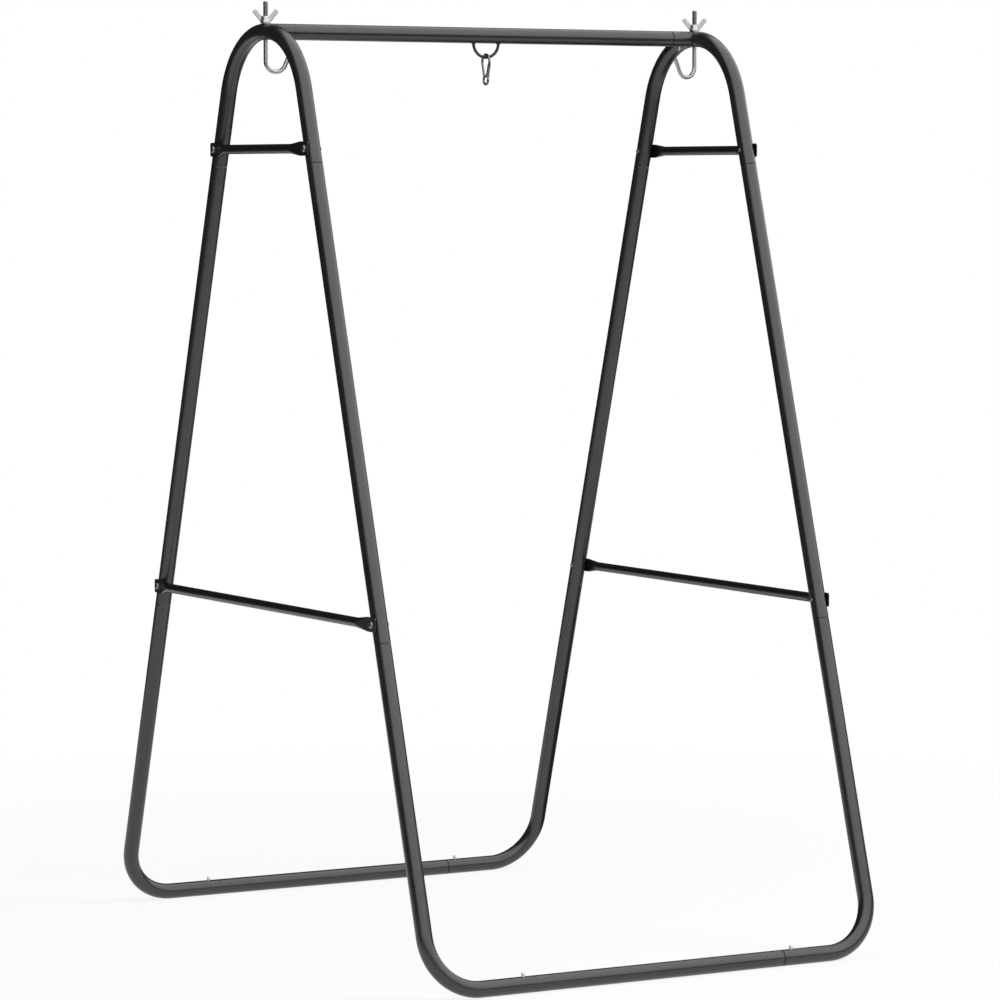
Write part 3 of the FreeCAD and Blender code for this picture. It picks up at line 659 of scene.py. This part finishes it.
class SWING_OT_j_hooks(bpy.types.Operator):
    """Model the two J-hooks with rolled thread and bent wire"""
    bl_idname = "swing_stand.j_hooks"
    bl_label = "Model the J-Hooks"

    def execute(self, context):
        sizes = settings().swing_hooks
        finishes = settings().swing_finishes
        bright = plating("hook_zinc", finishes.bright_zinc, 0.3, 1500.0, 0.06)
        dull = plating("thread_zinc", finishes.thread_zinc, 0.34, 1900.0, 0.14)
        for name, side in SIDES.items():
            low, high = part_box(name + "_j_hook")
            washer_low, washer_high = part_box(name + "_hook_washer")
            axis = (washer_low + washer_high) / 2
            thread_bottom = high.z - sizes.thread_length
            body = name + "_j_hook_rod"
            wire = hook_wire(sizes, side, axis, thread_bottom, low.z)
            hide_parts(name + "_j_hook")
            settle(wire, name + "_hook_wire", body, bright)
            crest = sizes.thread_diameter / 2
            root = sizes.thread_root / 2
            point = sizes.rod_chamfer
            rod = thread(crest, root, sizes.thread_pitch, thread_bottom, high.z - point)
            tip = turned([(0, high.z), (root * 0.80, high.z), (root, high.z - point), (root, high.z - 3 * point),
                          (0, high.z - 3 * point)])
            rod = joined([rod, tip])
            rod.location = (axis.x, axis.y, 0)
            settle(rod, name + "_hook_thread", body, dull, 28)
        for name in SIDES:
            paint_node(name + "_hook_washer", bright)
        return {"FINISHED"}


def wing(sizes, side):
    """One slanted wing, thinner at its rounded tip."""
    lean = side * sizes.wing_lean
    outward = Vector((math.sin(lean), 0, math.cos(lean)))
    inward = Vector((-side * math.cos(lean), 0, side * math.sin(lean)))
    foot = Vector((side * sizes.wing_foot, 0, 0))
    middle = foot + outward * sizes.wing_length / 2 + inward * sizes.wing_width / 2
    clear_selection()
    bpy.ops.mesh.primitive_cube_add(
        size=1, location=middle, rotation=(0, lean, 0),
        scale=(sizes.wing_width, sizes.wing_thickness, sizes.wing_length))
    piece = bpy.context.object
    apply_place(piece)
    far = (foot.dot(outward) + sizes.wing_length) - 0.1 * MM
    edit_selected(piece, lambda place: place.dot(outward) > far)
    tip = foot + outward * sizes.wing_length + inward * sizes.wing_width / 2
    bpy.ops.transform.resize(value=(1, 0.8, 1), center_override=tip)
    bpy.ops.mesh.select_mode(type="EDGE")
    bpy.ops.mesh.select_all(action="DESELECT")
    leave_edit()
    for edge in piece.data.edges:
        ends = [piece.data.vertices[i].co for i in edge.vertices]
        level = abs(ends[0].y - ends[1].y) > MM
        edge.select = level and min(end.dot(outward) for end in ends) > far
    bpy.ops.object.mode_set(mode="EDIT")
    bpy.ops.mesh.bevel(offset=sizes.wing_corner, segments=6, affect="EDGES")
    leave_edit()
    return piece


class SWING_OT_wing_nuts(bpy.types.Operator):
    """Model the cast wing nuts"""
    bl_idname = "swing_stand.wing_nuts"
    bl_label = "Model the Wing Nuts"

    def execute(self, context):
        sizes = settings().swing_nuts
        finishes = settings().swing_finishes
        cast = cast_metal("wing_nut_cast", finishes.cast_zinc, 0.42)
        base = sizes.base_diameter / 2
        top = sizes.top_diameter / 2
        height = sizes.height
        hub = turned([(0, 0), (base, 0), (base, 1.6 * MM), (base - 0.7 * MM, 2.6 * MM), (top, height - 1.0 * MM),
                      (top - 0.9 * MM, height), (0, height)])
        nut = joined([hub, wing(sizes, 1), wing(sizes, -1)])
        modify(nut, "REMESH", mode="VOXEL", voxel_size=sizes.voxel)
        modify(nut, "SMOOTH", factor=0.5, iterations=5)
        clear_selection()
        bpy.ops.mesh.primitive_cylinder_add(vertices=48, radius=sizes.bore / 2, depth=4 * height, location=(0, 0, 0))
        cut_away(nut, bpy.context.object)
        nut.rotation_euler = (0, 0, sizes.turn)
        pair = {"left": nut, "right": copy_of(nut)}
        for name, piece in pair.items():
            washer_low, washer_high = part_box(name + "_hook_washer")
            axis = (washer_low + washer_high) / 2
            piece.location = (axis.x, axis.y, washer_high.z)
            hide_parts(name + "_wing_nut")
            settle(piece, name + "_wing_nut_cast", name + "_wing_nut_body", cast, 40)
        return {"FINISHED"}


def bolt(sizes, reach):
    """Button-head bolt on Z: its head above the seat at zero, its domed end at the reach below it."""
    radius = sizes.head_diameter / 2
    shank = sizes.diameter / 2
    head = dome(radius, sizes.head_height - sizes.rim, sizes.head_flat / 2, sizes.rim)
    end = [(across, -reach - up) for across, up in reversed(dome(shank, sizes.end_dome, 0.3 * MM, -sizes.end_dome))]
    body = turned(head + [(radius, 0.15 * MM), (radius - 0.15 * MM, 0), (shank, 0)] + end)
    clear_selection()
    bpy.ops.mesh.primitive_cylinder_add(
        vertices=6, radius=sizes.socket_width / math.sqrt(3), depth=2 * sizes.socket_depth,
        location=(0, 0, sizes.head_height))
    cut_away(body, bpy.context.object)
    return body


class SWING_OT_bolts(bpy.types.Operator):
    """Model the eight crossbar bolts and blacken their nuts"""
    bl_idname = "swing_stand.bolts"
    bl_label = "Model the Bolts"

    def execute(self, context):
        sizes = settings().swing_bolts
        finishes = settings().swing_finishes
        steel = plating("bolt_plating", finishes.bolt_steel, 0.36, 1400.0, 0.12)
        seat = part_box("right_arch")[1].x + sizes.paddle_thickness
        leg_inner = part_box("front_right_middle_leg")[0].x
        model = bolt(sizes, seat - leg_inner + sizes.end_length)
        for side_name, side in SIDES.items():
            for level in ("upper", "lower"):
                low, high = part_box(side_name + "_" + level + "_crossbar")
                for end_name, end in ENDS.items():
                    piece = copy_of(model)
                    piece.rotation_euler = (0, side * math.pi / 2, 0)
                    across = end * (high.y - sizes.paddle_end)
                    piece.location = (side * seat, across, (low.z + high.z) / 2)
                    settle(piece, "_".join((end_name, side_name, level, "bolt")), "frame", steel, 32)
        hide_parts("crossbar_bolts")
        bpy.data.objects.remove(model)
        paint_node("crossbar_nuts", powder_coat("nut_black", finishes.frame_black, 0.5, 0.4))
        return {"FINISHED"}


class SWING_OT_snap_hook(bpy.types.Operator):
    """Plate the snap hook, round off its rivet and paint the hanging ring"""
    bl_idname = "swing_stand.snap_hook"
    bl_label = "Finish the Snap Hook"

    def execute(self, context):
        finishes = settings().swing_finishes
        steel = plating("snap_hook_plating", finishes.snap_steel, 0.3, 1700.0, 0.12)
        spring = plating("spring_plating", finishes.spring_steel, 0.3, 2200.0, 0.1)
        for node in ("snap_hook_body", "snap_hook_gate"):
            paint_node(node, steel)
        paint_node("snap_hook_gate_spring", spring)
        low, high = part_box("snap_hook_gate_pin")
        reach = (high.x - low.x) / 2
        radius = (high.z - low.z) / 2
        head = radius * 1.7
        lip = 0.7 * MM
        half = dome(head, lip, head * 0.3, reach) + [(radius, reach), (radius, 0), (0, 0)]
        upper = turned(half, 32)
        lower = copy_of(upper)
        lower.rotation_euler = (math.pi, 0, 0)
        apply_place(lower)
        rivet = joined([upper, lower])
        rivet.rotation_euler = (0, math.pi / 2, 0)
        rivet.location = (low + high) / 2
        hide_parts("snap_hook_gate_pin")
        settle(rivet, "snap_hook_rivet", "snap_gate", steel)
        ring = powder_coat("ring_paint", finishes.ring_black, 0.4, 0.4)
        paint_node("hanging_ring", ring)
        return {"FINISHED"}


class SWING_OT_buttons(bpy.types.Operator):
    """Plate the snap buttons and their spring clips"""
    bl_idname = "swing_stand.buttons"
    bl_label = "Plate the Buttons"

    def execute(self, context):
        finishes = settings().swing_finishes
        button = plating("button_plating", finishes.button_steel, 0.28, 1800.0, 0.08)
        spring = plating("clip_steel", finishes.spring_steel, 0.34, 900.0, 0.1)
        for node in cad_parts:
            if node.endswith("_button"):
                paint_node(node, button)
            if node.endswith("_button_clip"):
                paint_node(node, spring)
        return {"FINISHED"}


# --- stage --------------------------------------------------------------------------------------------------

def soft_lamp(name, place, target, side, power):
    """Square area lamp that faces a target."""
    data = bpy.data.lights.new(name, "AREA")
    data.shape = "SQUARE"
    data.size = side
    data.energy = power
    lamp = bpy.data.objects.new(name, data)
    bpy.context.scene.collection.objects.link(lamp)
    lamp.location = place
    lamp.rotation_euler = (Vector(target) - Vector(place)).to_track_quat("-Z", "Y").to_euler()
    lamp.visible_camera = False
    lamp.visible_glossy = False
    return lamp


def gloss_screen(piece, name, level):
    """Make a stage piece an even screen that only reflections show."""
    piece.name = name
    finish = Finish(name)
    finish.surface_from(finish.node("ShaderNodeEmission", None, {"Strength": level}).outputs[0])
    piece.data.materials.append(finish.material)
    piece.visible_camera = False
    piece.visible_diffuse = False
    piece.visible_shadow = False
    piece.visible_transmission = False


def dome_part(radius, cuts):
    """What is left of a large dome after it is cut by planes, each given by a point and its outward side."""
    clear_selection()
    bpy.ops.mesh.primitive_uv_sphere_add(segments=64, ring_count=32, radius=radius, location=(0, 0, 0))
    piece = bpy.context.object
    bpy.ops.object.mode_set(mode="EDIT")
    for place, outward in cuts:
        bpy.ops.mesh.select_all(action="SELECT")
        bpy.ops.mesh.bisect(plane_co=place, plane_no=outward, clear_outer=True)
    leave_edit()
    return piece


class SWING_OT_stage(bpy.types.Operator):
    """Set the floor, the lamps, the room and the camera"""
    bl_idname = "swing_stand.stage"
    bl_label = "Set the Stage"

    def execute(self, context):
        stage = settings().swing_stage
        self.room(stage)
        self.floor(stage)
        middle = (CAD_BOX[0] + CAD_BOX[1]) / 2
        soft_lamp("key_lamp", (4.2, -3.6, 5.0), middle, 3.2, stage.key_power)
        soft_lamp("fill_lamp", (-5.0, -3.0, 3.0), middle, 3.0, stage.fill_power)
        self.screens(stage)
        camera = bpy.data.objects.new("camera", bpy.data.cameras.new("camera"))
        bpy.context.scene.collection.objects.link(camera)
        camera.location = stage.camera_place
        camera.rotation_euler = stage.camera_turn
        camera.data.lens = stage.camera_lens
        camera.data.sensor_width = 36.0
        camera.data.clip_end = 500.0
        bpy.context.scene.camera = camera
        bpy.context.scene.view_settings.view_transform = "Standard"
        return {"FINISHED"}

    def screens(self, stage):
        """A bright screen in front, to the right and overhead, with dark drapes round the rest of the room."""
        radius = stage.screen_radius
        facing = Vector(stage.screen_facing)
        edge = facing * (stage.screen_cut * radius)
        low = (0, 0, stage.screen_foot)
        bright = dome_part(radius, [(low, (0, 0, -1)), (edge, -facing)])
        gloss_screen(bright, "bright_screen", stage.screen_level)
        drape = dome_part(radius, [(low, (0, 0, -1)), (edge, facing)])
        gloss_screen(drape, "dark_drape", stage.drape_level)
        skirt = dome_part(radius, [((0, 0, 0), (0, 0, -1)), (low, (0, 0, 1))])
        gloss_screen(skirt, "dark_skirt", stage.drape_level)
        clear_selection()
        just_above = (0, 0, stage.dark_mat_place[2])
        bpy.ops.mesh.primitive_circle_add(vertices=64, radius=radius, location=just_above)
        around = bpy.context.object
        bpy.ops.object.mode_set(mode="EDIT")
        bpy.ops.mesh.primitive_circle_add(vertices=64, radius=stage.bright_floor, location=just_above)
        bpy.ops.mesh.select_all(action="SELECT")
        bpy.ops.mesh.bridge_edge_loops()
        leave_edit()
        gloss_screen(around, "dark_ground", stage.drape_level)
        clear_selection()
        bpy.ops.mesh.primitive_circle_add(
            vertices=64, radius=stage.dark_mat, fill_type="NGON", location=stage.dark_mat_place)
        gloss_screen(bpy.context.object, "dark_mat", stage.drape_level)

    def room(self, stage):
        world = bpy.data.worlds.new("room")
        bpy.context.scene.world = world
        world.use_nodes = True
        maker = NodeMaker(world.node_tree)
        lit = world.node_tree.nodes["Background"]
        maker.feed(lit.inputs["Color"], WHITE)
        maker.feed(lit.inputs["Strength"], stage.room_level)
        seen = maker.node("ShaderNodeBackground", None, {"Color": WHITE})
        mix = maker.node("ShaderNodeMixShader", None, {
            0: maker.seen_directly(), 1: lit.outputs[0], 2: seen.outputs[0]})
        maker.feed(world.node_tree.nodes["World Output"].inputs["Surface"], mix.outputs[0])

    def floor(self, stage):
        """A matt floor that shows shadows near the stand and fades to white away from it."""
        clear_selection()
        bpy.ops.mesh.primitive_plane_add(size=stage.floor_size, location=(0, 0, -0.2 * MM))
        piece = bpy.context.object
        piece.name = "floor"
        finish = Finish("pale_floor")
        finish.surface(Base_Color=rgba((0.88, 0.88, 0.88)), Roughness=0.9, Specular_IOR_Level=0.0)
        away = finish.node("ShaderNodeVectorMath", {"operation": "LENGTH"}, {0: finish.place})
        white_share = finish.step(
            Amount(finish, away.outputs["Value"]), stage.fade_start, stage.fade_end, stage.floor_white, 1.0)
        glow = finish.node("ShaderNodeEmission")
        mix = finish.node("ShaderNodeMixShader", None, {
            0: finish.seen_directly() * white_share, 1: finish.shader.outputs[0], 2: glow.outputs[0]})
        finish.surface_from(mix.outputs[0])
        piece.data.materials.append(finish.material)


class SWING_PT_builder(bpy.types.Panel):
    """Buttons for the stand's pieces, in the order in which they are made"""
    bl_idname = "SWING_PT_builder"
    bl_label = "Swing Stand"
    bl_space_type = "VIEW_3D"
    bl_region_type = "UI"
    bl_category = "Swing Stand"

    def draw(self, context):
        for step in STEPS:
            self.layout.operator(step.bl_idname)
        for group in ("swing_finishes", "swing_hooks", "swing_nuts", "swing_bolts", "swing_welds", "swing_stage"):
            owner = getattr(context.scene, group)
            box = self.layout.box()
            for key in owner.bl_rna.properties.keys():
                if key not in ("rna_type", "name"):
                    box.prop(owner, key)


STEPS = (
    SWING_OT_tubes, SWING_OT_crossbars, SWING_OT_welds, SWING_OT_j_hooks, SWING_OT_wing_nuts, SWING_OT_bolts,
    SWING_OT_snap_hook, SWING_OT_buttons, SWING_OT_stage)
GROUPS = {
    "swing_finishes": SwingFinishes, "swing_hooks": SwingHookSizes, "swing_nuts": SwingNutSizes,
    "swing_bolts": SwingBoltSizes, "swing_welds": SwingWeldSizes, "swing_stage": SwingStage}


def register():
    for group in GROUPS.values():
        bpy.utils.register_class(group)
    for key, group in GROUPS.items():
        setattr(bpy.types.Scene, key, bpy.props.PointerProperty(type=group))
    for step in STEPS:
        bpy.utils.register_class(step)
    bpy.utils.register_class(SWING_PT_builder)


def unregister():
    bpy.utils.unregister_class(SWING_PT_builder)
    for step in reversed(STEPS):
        bpy.utils.unregister_class(step)
    for key, group in GROUPS.items():
        delattr(bpy.types.Scene, key)
        bpy.utils.unregister_class(group)


def main():
    register()
    bpy.ops.swing_stand.tubes()
    bpy.ops.swing_stand.crossbars()
    bpy.ops.swing_stand.welds()
    bpy.ops.swing_stand.j_hooks()
    bpy.ops.swing_stand.wing_nuts()
    bpy.ops.swing_stand.bolts()
    bpy.ops.swing_stand.snap_hook()
    bpy.ops.swing_stand.buttons()
    bpy.ops.swing_stand.stage()


if __name__ == "__main__":
    main()
